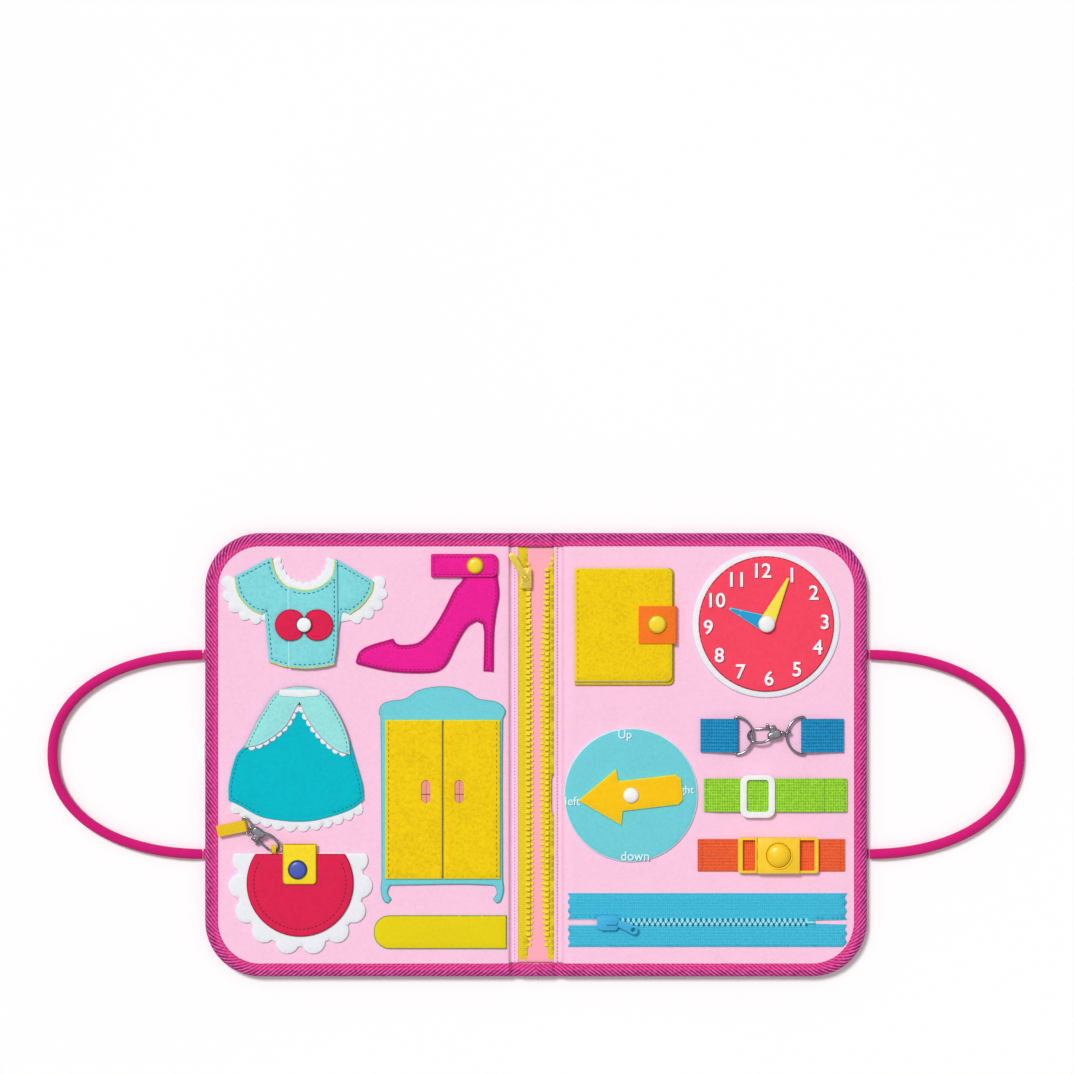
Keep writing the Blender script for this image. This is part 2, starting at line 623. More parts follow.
def tube(name, points, radius, slot=None, closed=False, shares=()):
    """Round bar along a line of points, thinner at points that have a radius share."""
    curve = bpy.data.curves.new(name, "CURVE")
    curve.dimensions = "3D"
    curve.resolution_u = 1
    curve.bevel_depth = radius
    curve.bevel_resolution = 2
    curve.use_fill_caps = not closed
    spline = curve.splines.new("POLY")
    spline.points.add(len(points) - 1)
    for point, place in zip(spline.points, points):
        point.co = (*place, 1)
    for point, share in zip(spline.points, shares):
        point.radius = share
    spline.use_cyclic_u = closed
    return add_object(name, curve, slot)


def block(name, box, low, high):
    """Rectangular cutter or piece between two heights."""
    left, bottom, right, top = box
    mesh = bpy.data.meshes.new(name)
    shape = bmesh.new()
    bmesh.ops.create_cube(shape, size=1)
    bmesh.ops.scale(shape, vec=(right - left, top - bottom, high - low), verts=shape.verts)
    shape.to_mesh(mesh)
    shape.free()
    obj = add_object(name, mesh)
    obj.location = ((left + right) / 2, (bottom + top) / 2, (low + high) / 2)
    return obj


def as_mesh(obj):
    """Turn a curve object into a mesh object with its seams closed."""
    if obj.type == "MESH":
        return obj
    bpy.context.view_layer.update()
    graph = bpy.context.evaluated_depsgraph_get()
    mesh = bpy.data.meshes.new_from_object(obj.evaluated_get(graph))
    shape = bmesh.new()
    shape.from_mesh(mesh)
    bmesh.ops.remove_doubles(shape, verts=shape.verts, dist=MERGE_DISTANCE)
    shape.to_mesh(mesh)
    shape.free()
    name, place, turn = obj.name, Vector(obj.location), obj.rotation_euler.copy()
    bpy.data.objects.remove(obj)
    mesh.name = name
    solid = bpy.data.objects.new(name, mesh)
    solid.location = place
    solid.rotation_euler = turn
    PARTS.objects.link(solid)
    return solid


def combine(target, tools, operation):
    """Add a live Boolean to the target for each tool, which follows it from then on."""
    target = as_mesh(target)
    for tool in tools:
        tool = as_mesh(tool)
        PARTS.objects.unlink(tool)
        CUTTERS.objects.link(tool)
        tool.hide_render = True
        tool.display_type = "WIRE"
        bpy.context.view_layer.update()
        tool.parent = target
        tool.matrix_parent_inverse = target.matrix_world.inverted()
        modifier = target.modifiers.new(tool.name, "BOOLEAN")
        modifier.operation = operation
        modifier.solver = "EXACT"
        modifier.object = tool
    return target


def join(target, *tools):
    """Unite solids into the first one."""
    return combine(target, tools, "UNION")


def cut(target, *tools):
    """Cut solids out of the first one."""
    return combine(target, tools, "DIFFERENCE")


def felt(name, outline, level, slot, at=(0, 0), holes=(), thickness=FELT_THICKNESS):
    """Felt shape lying on the panel, at a level counted from zero."""
    low = BASE_LOW + level * LEVEL_STEP
    return plate(name, outline, low, low + thickness, slot, at, holes)


def snap_cap(name, snap, carrier_top):
    """Domed cap of a snap fastener, rooted in the middle of its felt carrier."""
    x, y, radius, rise = snap
    low = carrier_top - FELT_THICKNESS / 2
    height = rise + FELT_THICKNESS / 2
    return turned(name, [(radius * across, height * up) for across, up in SNAP_SHARES], (x, y, low))


def middle_of(points):
    """Middle of an outline's bounding box."""
    across = [x for x, _ in points]
    along = [y for _, y in points]
    return (min(across) + max(across)) / 2, (min(along) + max(along)) / 2


# Covers
def cover_outline(inset, start=COVER_START):
    """Outline of the right cover, drawn in from the board's edge by an inset."""
    radius = CORNER_RADIUS - inset
    half_depth = HALF_DEPTH - inset
    radii = (0, radius, radius, 0)
    return rounded(start, -half_depth, BOARD_EDGE - inset, half_depth, radii, CORNER_STEPS * 2)


def pad_outline(middle):
    """Outline of one handle pad, from its neck beyond the board's edge to its round end."""
    flare = [(PAD_FLARE * along, PAD_NECK_HALF + (PAD_HALF_WIDTH - PAD_NECK_HALF) * wide)
             for along, wide in PAD_FLARE_SHARES]
    side = [(-PAD_NECK_REACH, PAD_NECK_HALF)] + flare
    lower = [(BOARD_EDGE - along, middle - half) for along, half in side]
    upper = [(BOARD_EDGE - along, middle + half) for along, half in side]
    round_end = arc((BOARD_EDGE - PAD_STRAIGHT, middle), PAD_HALF_WIDTH, 270, 90, CORNER_STEPS * 2)
    return lower + round_end + upper[::-1]


def handle_pad(name, side, middle):
    """Handle pad, thinned near the board's edge so that it passes under the binding."""
    pad = plate(name, on_side(pad_outline(middle), side), 0, SKIN_LOW + BOND_DEPTH)
    reach = sorted((side * (BOARD_EDGE - PAD_NECK_LENGTH), side * (BOARD_EDGE + CUT_OVERRUN)))
    relief = (reach[0], middle - PAD_HALF_WIDTH, reach[1], middle + PAD_HALF_WIDTH)
    return cut(pad, block(name + "_relief", relief, PAD_NECK_THICKNESS, SKIN_LOW + CUT_OVERRUN))


def build_cover(prefix, side, carrier):
    """Outer cover with its handle pads, felt panel and edge binding of one side."""
    sheet = on_side(cover_outline(COVER_INSET), side)
    skin = on_side(cover_outline(COVER_INSET, FOLD_LINE), side)
    outer = plate(prefix + "_outer_cover", skin, SKIN_LOW, SKIN_TOP, "outer_skin")
    reach = sorted((side * (FOLD_LINE - CUT_OVERRUN), side * COVER_START))
    relief = (reach[0], -HALF_DEPTH, reach[1], HALF_DEPTH)
    outer = cut(outer, block(prefix + "_fold_relief", relief, SKIN_LOW + FOLD_LIP_THICKNESS,
                             SKIN_TOP + CUT_OVERRUN))
    pads = [handle_pad(f"{prefix}_pad_{place}", side, HANDLE_HALF_SPREAD * sign)
            for place, sign in (("near", -1), ("far", 1))]
    attach(join(outer, *pads), carrier)
    attach(plate(prefix + "_felt_panel", sheet, PANEL_LOW, PANEL_TOP, "felt_pink"), carrier)
    ring = cover_outline(0) + cover_outline(BINDING_WIDTH)[::-1]
    binding = plate(prefix + "_binding", on_side(ring, side), BINDING_LOW, BINDING_TOP, "binding")
    tongue = [(x - CUT_OVERRUN if x == COVER_START else x, y) for x, y in cover_outline(BINDING_WALL)]
    channel = plate(prefix + "_binding_channel", on_side(tongue, side), BINDING_LOW + BINDING_LIP,
                    BINDING_TOP - BINDING_LIP)
    attach(cut(binding, channel), carrier)


def handle_path():
    """Centre line of a handle in plan, measured from the board's edge, from its near end to its far end."""
    power = 2 / HANDLE_ROUNDNESS
    ends = []
    for out in (HANDLE_AXIS_OUT - HANDLE_END_REACH, HANDLE_AXIS_OUT - HANDLE_END_ROUND, HANDLE_AXIS_OUT):
        spread = (1 - (out / HANDLE_REACH) ** HANDLE_ROUNDNESS) ** (1 / HANDLE_ROUNDNESS)
        ends.append((out, HANDLE_HALF_SPREAD * spread))
    bow = []
    for step in range(HANDLE_STEPS + 1):
        angle = math.radians(HANDLE_BEND_LIMIT * (2 * step / HANDLE_STEPS - 1))
        sign = math.copysign(1, angle)
        bow.append((HANDLE_REACH * math.cos(angle) ** power,
                    HANDLE_HALF_SPREAD * sign * abs(math.sin(angle)) ** power))
    return [(out, -spread) for out, spread in ends] + bow + ends[::-1]


def build_handle(name, side, carrier):
    """Rolled handle, hinged on the line through its two pads."""
    path = handle_path()
    shares = [1.0] * len(path)
    shares[:len(HANDLE_END_SHARES)] = HANDLE_END_SHARES
    shares[-len(HANDLE_END_SHARES):] = HANDLE_END_SHARES[::-1]
    points = [(side * (out - HANDLE_AXIS_OUT), across, 0) for out, across in path]
    axis = pivot(name + "_axis", (side * (BOARD_EDGE + HANDLE_AXIS_OUT), 0, HANDLE_RADIUS), carrier)
    handle = tube(name, points, HANDLE_RADIUS, "handle", shares=shares)
    handle.parent = axis


def build_closure(left, right):
    """Elastic loop on the left cover and four-hole button on the right one."""
    near, far = ELASTIC_SIDES
    root = -BOARD_EDGE - ELASTIC_AXIS_OUT
    top = BINDING_LOW - REST_GAP
    outline = rectangle(root, near, -ELASTIC_END, far)
    slit = rectangle(root + ELASTIC_JOINED, ELASTIC_SLIT[0], -ELASTIC_END - ELASTIC_JOINED, ELASTIC_SLIT[1])
    axis = pivot("closure_elastic_axis", (root, 0, top - ELASTIC_THICKNESS / 2), left)
    loop = plate("closure_elastic", outline, top - ELASTIC_THICKNESS, top, "elastic_white", (root, 0), [slit])
    attach(loop, axis)
    height = SKIN_LOW - 2 * REST_GAP
    profile = [(CLOSURE_BUTTON_RADIUS * across, -height * down) for across, down in CLOSURE_BUTTON_SHARES]
    profile = [(radius, -height - down) for radius, down in profile[::-1]]
    button = turned("closure_button", profile, (*CLOSURE_BUTTON_AT, REST_GAP + height), "plastic_white")
    for index, (x, y) in enumerate(circle(CLOSURE_BUTTON_AT, CLOSURE_HOLE_SPREAD, CLOSURE_HOLES)):
        hole = cylinder(f"closure_button_hole_{index}", (x, y), CLOSURE_HOLE_RADIUS, REST_GAP - CUT_OVERRUN,
                        SKIN_LOW + CUT_OVERRUN, steps=HOLE_STEPS)
        button = cut(button, hole)
    attach(button, right)


# Spine
def zip_half(name, tape, bead, inner_side):
    """One half of the spine zip: a tape with a raised row of teeth along it."""
    low = SPINE_FELT_TOP + REST_GAP
    left, bottom, right, top = tape
    if inner_side > 0:
        right = right + ZIP_OVERLAP
    else:
        left = left - ZIP_OVERLAP
    strip = plate(name, rectangle(left, bottom, right, top), low, low + ZIP_TAPE_THICKNESS, "zip_yellow")
    teeth = plate(name + "_teeth", rectangle(*bead), low, low + ZIP_BEAD_HEIGHT)
    return join(strip, teeth)


def build_spine():
    """Spine strip with its bound ends, zip halves, slider and pull."""
    skin_half_depth = HALF_DEPTH - COVER_INSET
    outline = rectangle(-SPINE_SKIN_HALF, -skin_half_depth, SPINE_SKIN_HALF, skin_half_depth)
    skin = plate("spine_panel", outline, SKIN_LOW, SKIN_TOP, "spine_felt")
    pad_end = HALF_DEPTH - BINDING_WIDTH - SIDE_GAP
    felt_strip = rectangle(SPINE_FELT_LEFT, -pad_end, SPINE_FELT_RIGHT, pad_end)
    pad = plate("spine_felt_pad", felt_strip, SKIN_LOW + BOND_DEPTH, SPINE_FELT_TOP)
    ends = []
    for place, sign in (("near", -1), ("far", 1)):
        inner, outer = sorted((sign * (HALF_DEPTH - BINDING_WIDTH), sign * HALF_DEPTH))
        ends.append(plate("spine_end_" + place, rectangle(-SPINE_END_HALF, inner, SPINE_END_HALF, outer),
                          BINDING_LOW, BINDING_TOP))
    join(skin, pad, *ends)
    zip_half("spine_zip_left", LEFT_TAPE, LEFT_BEAD, 1)
    zip_half("spine_zip_right", RIGHT_TAPE, RIGHT_BEAD, -1)
    build_spine_slider()


def build_spine_slider():
    """Slider on the left zip half, with a pull that swings on a post."""
    tape_top = SPINE_FELT_TOP + REST_GAP + ZIP_TAPE_THICKNESS
    bead_top = SPINE_FELT_TOP + REST_GAP + ZIP_BEAD_HEIGHT
    left, bottom, right, top = SPINE_SLIDER_BOX
    plate_low = bead_top + REST_GAP
    plate_top = plate_low + SLIDER_PLATE
    radii = (SLIDER_CORNER,) * 4
    slider = plate("spine_zip_slider", rounded(left, bottom, right, top, radii), tape_top + REST_GAP, plate_top,
                   "zip_metal")
    channel = block("spine_slider_channel", (LEFT_BEAD[0] - SIDE_GAP, bottom - CUT_OVERRUN,
                                             LEFT_BEAD[2] + SIDE_GAP, top + CUT_OVERRUN),
                    tape_top - CUT_OVERRUN, plate_low)
    post = cylinder("spine_slider_post", PULL_POST_AT, PULL_POST_RADIUS, plate_top - SLIDER_PLATE / 2,
                    plate_top + PULL_POST_HEIGHT)
    axis = pivot("spine_zip_slider_axis", (PULL_POST_AT[0], PULL_POST_AT[1], plate_top))
    attach(join(cut(slider, channel), post), axis)
    swing = pivot("spine_zip_pull_axis", (PULL_POST_AT[0], PULL_POST_AT[1], plate_top + REST_GAP), axis)
    half = PULL_HALF_WIDTH
    outline = rounded(-half, -half, half, PULL_LENGTH - half, (half,) * 4)
    outline = [(x + PULL_POST_AT[0], y + PULL_POST_AT[1]) for x, y in turn_points(outline, PULL_ANGLE)]
    eye = circle(PULL_POST_AT, PULL_EYE_RADIUS, TURN_STEPS)
    pull = plate("spine_zip_pull", outline, plate_top + REST_GAP, plate_top + REST_GAP + PULL_THICKNESS,
                 "zip_metal", PULL_POST_AT, [eye])
    attach(pull, swing)


# Clothes on the left cover
def build_dress(left):
    """Dress with lace at its neck and sleeves, and a front that opens like a page."""
    at = middle_of(from_shares(DRESS_BOX, DRESS_SHARES))
    edge = scalloped(from_shares(DRESS_BOX, DRESS_RIGHT_CUSP_SHARES))
    edge += from_shares(DRESS_BOX, DRESS_RIGHT_SHOULDER_SHARES)
    edge += scalloped(from_shares(DRESS_BOX, DRESS_NECK_CUSP_SHARES))
    edge += from_shares(DRESS_BOX, DRESS_LEFT_SHOULDER_SHARES)
    edge += scalloped(from_shares(DRESS_BOX, DRESS_LEFT_CUSP_SHARES))
    lace = plate("dress_lace", edge, BASE_LOW, BASE_LOW + LACE_THICKNESS, at=at)
    low = BASE_LOW + DRESS_BODY_LIFT
    top = low + DRESS_BODY_THICKNESS
    body = plate("dress_body", from_shares(DRESS_BOX, DRESS_SHARES), low, top, "felt_aqua", at)
    attach(join(body, lace), left)
    front_low = top + REST_GAP
    front_top = front_low + FELT_THICKNESS
    hinge_x = DRESS_BOX[0] + DRESS_BOX[2] * DRESS_HINGE_SHARE
    axis = pivot("dress_front_axis", (hinge_x, at[1], front_top), left)
    front = plate("dress_front", from_shares(DRESS_BOX, DRESS_FRONT_SHARES), front_low, front_top, "felt_aqua",
                  (hinge_x, at[1]))
    attach(front, axis)
    bow_low = front_top + REST_GAP
    bow_top = bow_low + BOW_THICKNESS
    bow = plate("dress_bow", from_shares(BOW_BOX, BOW_SHARES), bow_low, bow_top, "felt_crimson",
                middle_of(from_shares(BOW_BOX, BOW_SHARES)))
    attach(join(bow, snap_cap("dress_bow_snap", BOW_SNAP, bow_top)), axis)


def build_skirt(left):
    """Skirt with a scalloped white hem and an overskirt in two swags."""
    outline = from_shares(SKIRT_BOX, SKIRT_SHARES)
    at = middle_of(outline)
    hem = scalloped(from_shares(SKIRT_BOX, HEM_CUSP_SHARES)) + from_shares(SKIRT_BOX, HEM_ROOT_SHARES)
    lace = plate("skirt_hem", hem, BASE_LOW, BASE_LOW + LACE_THICKNESS, at=at)
    low = BASE_LOW + DRESS_BODY_LIFT
    top = low + DRESS_BODY_THICKNESS
    attach(join(plate("skirt_body", outline, low, top, "felt_teal", at), lace), left)
    over = from_shares(SKIRT_BOX, OVERSKIRT_SHARES)
    attach(plate("overskirt", over, top + REST_GAP, top + REST_GAP + FELT_THICKNESS, "felt_mint",
                 middle_of(over)), left)


def build_shoe(left):
    """Shoe with an ankle strap that unsnaps."""
    outline = from_shares(SHOE_BOX, SHOE_SHARES)
    attach(felt("shoe_body", outline, 0, "felt_magenta", middle_of(outline)), left)
    x, bottom, end, top = SHOE_STRAP
    strap_top = BASE_LOW + LEVEL_STEP + FELT_THICKNESS
    axis = pivot("shoe_strap_axis", (x, (bottom + top) / 2, strap_top), left)
    corner = SHOE_STRAP_CORNER
    strap = felt("shoe_strap", rounded(x, bottom, end, top, (0, corner, corner, 0)), 1, "felt_magenta",
                 (x, (bottom + top) / 2))
    attach(join(strap, snap_cap("shoe_snap", SHOE_SNAP, strap_top)), axis)


def build_door(name, span, hinge_x, slot_x, left):
    """Wardrobe door with a finger slot, hinged along its outer edge."""
    top = BASE_LOW + LEVEL_STEP + FELT_THICKNESS
    middle = (DOOR_BOTTOM + DOOR_TOP) / 2
    axis = pivot(name + "_axis", (hinge_x, middle, top), left)
    width, height = FINGER_SLOT
    slot = rounded(slot_x - width / 2, FINGER_SLOT_Y - height / 2, slot_x + width / 2,
                   FINGER_SLOT_Y + height / 2, (width / 2,) * 4)
    door = felt(name, rectangle(span[0], DOOR_BOTTOM, span[1], DOOR_TOP), 1, "felt_yellow", (hinge_x, middle),
                [slot])
    attach(door, axis)


def build_wardrobe(left):
    """Wardrobe frame with a crown and feet, two doors and the strip below it."""
    outline = from_shares(WARDROBE_BOX, WARDROBE_SHARES)
    attach(felt("wardrobe_frame", outline, 0, "felt_cyan", middle_of(outline)), left)
    build_door("wardrobe_door_left", LEFT_DOOR, LEFT_DOOR[0], LEFT_SLOT_X, left)
    build_door("wardrobe_door_right", RIGHT_DOOR, RIGHT_DOOR[1], RIGHT_SLOT_X, left)
    x, bottom, hinge_x, top = STRIP_BOX
    middle = (bottom + top) / 2
    axis = pivot("felt_strip_axis", (hinge_x, middle, BASE_LOW + FELT_THICKNESS), left)
    corner = STRIP_CORNER
    attach(felt("felt_strip", rounded(x, bottom, hinge_x, top, (corner, 0, 0, corner)), 0, "felt_yellow",
                (hinge_x, middle)), axis)


# Lobster clasps
def hook_point(angle):
    """Point of the clasp's hook in its own frame, at an angle round the hook in degrees."""
    turn = math.radians(angle)
    limit = HOOK_LIFT_LIMIT_SHARE
    lift = HOOK_LIFT * max(-limit, min(limit, angle / HOOK_LIFT_ANGLE))
    return (CLASP_LENGTH * (HOOK_CENTRE_SHARE + HOOK_REACH_SHARE * math.cos(turn)),
            CLASP_WIDTH * HOOK_HALF_SHARE * math.sin(turn), lift)


def ring_eye(name):
    """Upright round eye of the strap clasp."""
    turns = [math.radians(360 * step / EYE_STEPS) for step in range(EYE_STEPS)]
    return tube(name, [(EYE_RADIUS * math.cos(turn), 0, EYE_RADIUS * math.sin(turn)) for turn in turns],
                EYE_WIRE, closed=True)


def ribbon_eye(name):
    """Flat three-sided eye of the purse clasp, turned towards its ribbon."""
    shape = [(-LOOP_BAR_BACK, -LOOP_BAR_HALF, -LOOP_BAR_DEPTH),
             (-LOOP_BAR_BACK, LOOP_BAR_HALF, -LOOP_BAR_DEPTH),
             (-LOOP_SHOULDER_BACK, LOOP_SHOULDER_HALF, -LOOP_SHOULDER_DEPTH),
             (LOOP_NOSE, LOOP_NOSE_HALF, 0), (LOOP_NOSE, -LOOP_NOSE_HALF, 0),
             (-LOOP_SHOULDER_BACK, -LOOP_SHOULDER_HALF, -LOOP_SHOULDER_DEPTH)]
    plan = turn_points([(x, y) for x, y, _ in shape], PURSE_RIBBON_ANGLE - PURSE_CLASP_ANGLE)
    return tube(name, [(x, y, z) for (x, y), (_, _, z) in zip(plan, shape)], EYE_WIRE, closed=True)


def build_clasp(name, eye, eye_at, angle, height, carrier):
    """Lobster clasp: body, hook and eye in one piece, and a gate that springs shut."""
    box = (0, 0, CLASP_LENGTH, CLASP_WIDTH)
    body = plate(name, from_shares(box, CLASP_BODY_SHARES), -CLASP_BODY_DEPTH, CLASP_BODY_HEIGHT, "clasp_metal")
    lug_low = GATE_RADIUS + REST_GAP - GATE_DEPTH
    lug = plate(name + "_lug", from_shares(box, CLASP_LUG_SHARES), lug_low, CLASP_BODY_HEIGHT)
    angles = [HOOK_START + (HOOK_END - HOOK_START) * step / HOOK_STEPS for step in range(HOOK_STEPS + 1)]
    hook = tube(name + "_hook", [hook_point(step) for step in angles], HOOK_WIRE)
    neck = tube(name + "_neck", [(CLASP_NECK_START, 0, 0), (CLASP_LENGTH * CLASP_NECK_END_SHARE, 0, 0)],
                CLASP_NECK_RADIUS)
    body = join(body, lug, hook, neck, eye(name + "_eye"))
    body.location = body.location + Vector((*eye_at, height))
    body.rotation_euler = (0, 0, math.radians(angle))
    attach(body, carrier)
    build_gate(name + "_gate", eye_at, angle, height, carrier)


def build_gate(name, eye_at, angle, height, carrier):
    """Gate of a clasp, turning about an upright pin."""
    box = (0, 0, CLASP_LENGTH, CLASP_WIDTH)
    tail, pin, tip = from_shares(box, (GATE_TAIL_SHARE, GATE_PIVOT_SHARE, GATE_TIP_SHARE))
    nub = from_shares(box, GATE_NUB_SHARES)
    at = turn_points([pin], angle)[0]
    axis = pivot(name + "_axis", (eye_at[0] + at[0], eye_at[1] + at[1], height - GATE_DEPTH), carrier, angle)
    bar = tube(name, [(x - pin[0], y - pin[1], 0) for x, y in (tail, tip)], GATE_RADIUS, "clasp_metal")
    lever = tube(name + "_lever", [(x - pin[0], y - pin[1], 0) for x, y in nub], GATE_RADIUS)
    join(bar, lever).parent = axis


# Purse
def purse_back_outline():
    """Scalloped half disc behind the purse, flat along its top."""
    centre = PURSE_CENTRE
    lobes = []
    for index in range(PURSE_LOBES):
        angle = PURSE_FIRST_LOBE + PURSE_LOBE_PITCH * index
        x, y = arc(centre, PURSE_RING_RADIUS, angle, angle, 1)[0]
        lobes += arc((x, y), PURSE_LOBE_RADIUS, angle - PURSE_LOBE_SWEEP, angle + PURSE_LOBE_SWEEP,
                     CORNER_STEPS * 2)
    return [(x, min(y, PURSE_BACK_TOP)) for x, y in lobes]


def purse_front_outline():
    """Round purse front, flat along its top."""
    rise = math.degrees(math.asin((PURSE_FRONT_TOP - PURSE_CENTRE[1]) / PURSE_FRONT_RADIUS))
    return arc(PURSE_CENTRE, PURSE_FRONT_RADIUS, 180 - rise, 360 + rise, ROUND_STEPS)


def folded(left_end, fold_centre, top_end, low, fold, thickness, steps=FOLD_STEPS):
    """Profile of a band that runs along X, turns back over itself and ends above."""
    outer = fold + thickness
    middle = low + outer
    bend_out = arc((fold_centre, middle), outer, -90, 90, steps)
    bend_in = arc((fold_centre, middle), fold, 90, -90, steps)
    return ([(left_end, low)] + bend_out + [(top_end, middle + outer), (top_end, middle + fold)] + bend_in
            + [(left_end, low + thickness)])


def build_purse(left):
    """Purse hung from a clasp by its ribbon loop, with a tab that unsnaps."""
    hook_x, hook_y, hook_z = hook_point(PURSE_LOOP_ANGLE)
    plan = turn_points([(hook_x, hook_y)], PURSE_CLASP_ANGLE)[0]
    hang = (PURSE_CLASP_EYE[0] + plan[0], PURSE_CLASP_EYE[1] + plan[1], PURSE_CLASP_HEIGHT + hook_z)
    lift = pivot("purse_axis", hang, left)
    attach(felt("purse_back", purse_back_outline(), 0, "felt_white", PURSE_CENTRE), lift)
    attach(felt("purse_front", purse_front_outline(), 1, "felt_crimson", PURSE_CENTRE), lift)
    x, bottom, end, hinge_y = PURSE_FLAP
    top = BASE_LOW + 2 * LEVEL_STEP + FELT_THICKNESS
    axis = pivot("purse_flap_axis", ((x + end) / 2, hinge_y, top), lift)
    corner = PURSE_FLAP_CORNER
    flap = felt("purse_flap", rounded(x, bottom, end, hinge_y, (corner, corner, 0, 0)), 2, "felt_yellow",
                ((x + end) / 2, hinge_y))
    attach(join(flap, snap_cap("purse_snap", PURSE_SNAP, top)), axis)
    build_purse_loop(hang, lift)
    build_clasp("purse_clasp", ribbon_eye, PURSE_CLASP_EYE, PURSE_CLASP_ANGLE, PURSE_CLASP_HEIGHT, left)
    build_clasp_ribbon(left)


def build_purse_loop(hang, lift):
    """Small ribbon loop round the clasp's hook, its upper end lying over the purse's front."""
    outer = PURSE_LOOP_FOLD + PURSE_LOOP_THICKNESS
    front_top = BASE_LOW + LEVEL_STEP + FELT_THICKNESS + REST_GAP - hang[2]
    back_end = hang[1] - (PURSE_BACK_TOP + SIDE_GAP)
    far_end = hang[1] - PURSE_LOOP_END
    profile = [(back_end, -outer)] + arc((0, 0), outer, 270, 90, LOOP_STEPS)
    profile += [(far_end, front_top + PURSE_LOOP_THICKNESS), (far_end, front_top)]
    profile += arc((0, 0), PURSE_LOOP_FOLD, 90, 270, LOOP_STEPS) + [(back_end, -PURSE_LOOP_FOLD)]
    attach(side_plate("purse_loop", profile, hang, PURSE_LOOP_HALF, "ribbon_yellow", -90), lift)


def build_clasp_ribbon(left):
    """Ribbon from the binding to the purse clasp, folded back over the clasp's eye."""
    angle = PURSE_RIBBON_ANGLE
    bar = turn_points([(-LOOP_BAR_BACK, 0)], angle)[0]
    bar = (PURSE_CLASP_EYE[0] + bar[0], PURSE_CLASP_EYE[1] + bar[1])
    outer = RIBBON_FOLD + RIBBON_THICKNESS
    profile = folded(-PURSE_RIBBON_LENGTH, 0, -PURSE_RIBBON_LENGTH, -outer, RIBBON_FOLD, RIBBON_THICKNESS)
    place = (*bar, PURSE_CLASP_HEIGHT - LOOP_BAR_DEPTH)
    attach(side_plate("clasp_ribbon", profile, place, PURSE_RIBBON_HALF, "ribbon_yellow", angle), left)


# Straps on the right cover
def ring_points(bar_x, side, bar_z):
    """Centre line of a D-ring whose straight bar sits in a strap's fold."""
    upper = []
    for out, half in RING_SHARES[1:]:
        upper.append((bar_x + side * RING_REACH * out, RING_HALF * half, bar_z + RING_RISE * out))
    lower = [(x, -y, z) for x, y, z in upper[::-1]]
    return [(x, BLUE_STRAP_Y + y, z) for x, y, z in upper + lower]


def build_blue_straps(right):
    """Two short straps with D-rings that a clasp links."""
    for name, ring, (start, bar), side in (("blue_strap_left", "ring_left", BLUE_LEFT, 1),
                                           ("blue_strap_right", "ring_right", BLUE_RIGHT, -1)):
        length = abs(bar - start)
        profile = folded(-length, 0, -length, 0, BLUE_FOLD, WEBBING_THICKNESS)
        strap = side_plate(name, on_side(profile, side), (bar, BLUE_STRAP_Y, BASE_LOW), BLUE_STRAP_HALF,
                           "webbing_blue")
        attach(strap, right)
        bar_z = BASE_LOW + WEBBING_THICKNESS + BLUE_FOLD
        attach(tube(ring, ring_points(bar, side, bar_z), RING_WIRE, "clasp_metal", closed=True), right)
    far_z = BASE_LOW + WEBBING_THICKNESS + BLUE_FOLD + RING_RISE
    build_clasp("strap_clasp", ring_eye, STRAP_CLASP_EYE, STRAP_CLASP_ANGLE, far_z, right)


def build_green_strap(right):
    """Strap sewn down at both ends, with a slider that it runs through."""
    start, end = GREEN_X
    near, far = GREEN_Y
    low = BASE_LOW + GREEN_RAISE
    top = low + GREEN_THICKNESS
    profile = [(start, BASE_LOW), (GREEN_LEFT_BLOCK_END, BASE_LOW), (GREEN_LEFT_BLOCK_END, low),
               (GREEN_RIGHT_BLOCK_START, low), (GREEN_RIGHT_BLOCK_START, BASE_LOW), (end, BASE_LOW), (end, top),
               (start, top)]
    attach(side_plate("green_strap", profile, (0, (near + far) / 2, 0), (far - near) / 2, "webbing_green"), right)
    left, bottom, edge, upper = GREEN_SLIDER
    slider_low = BASE_LOW + GREEN_SLIDER_LIFT
    slider_top = top + REST_GAP + GREEN_SLIDER_TOP
    at = ((left + edge) / 2, (near + far) / 2)
    slider = plate("green_slider", rounded(left, bottom, edge, upper, (GREEN_SLIDER_CORNER,) * 4), slider_low,
                   slider_top, "plastic_white", at)
    way_near, way_far = near - SIDE_GAP, far + SIDE_GAP
    tunnel = block("green_slider_tunnel", (left - CUT_OVERRUN, way_near, edge + CUT_OVERRUN, way_far),
                   low - REST_GAP, top + REST_GAP)
    underside = low - REST_GAP / 2
    first = block("green_slider_under_left", (left - CUT_OVERRUN, way_near, GREEN_BAR[0], way_far),
                  slider_low - CUT_OVERRUN, underside)
    second = block("green_slider_under_right", (GREEN_BAR[1], way_near, edge + CUT_OVERRUN, way_far),
                   slider_low - CUT_OVERRUN, underside)
    window = plate("green_slider_window", rounded(*GREEN_WINDOW, (GREEN_WINDOW_CORNER,) * 4), top,
                   slider_top + CUT_OVERRUN)
    slide = pivot("green_slider_axis", (*at, slider_low), right)
    attach(cut(slider, tunnel, first, second, window), slide)


def prong(name, side):
    """One flat prong of the buckle's plug."""
    y = BUCKLE_CENTRE[1]
    inner, outer = PRONG_SIDES
    low = BASE_LOW + WEBBING_THICKNESS + REST_GAP + PRONG_LIFT
    root = MALE_X[1] - (MALE_X[1] - MALE_WINDOW[2]) / 2
    outline = [(root, inner), (PRONG_END, inner), (PRONG_END, outer - PRONG_TAPER / 2),
               (PRONG_END - PRONG_TAPER, outer), (root, outer)]
    return plate(name, [(x, y + side * across) for x, across in outline], low, low + PRONG_THICKNESS)


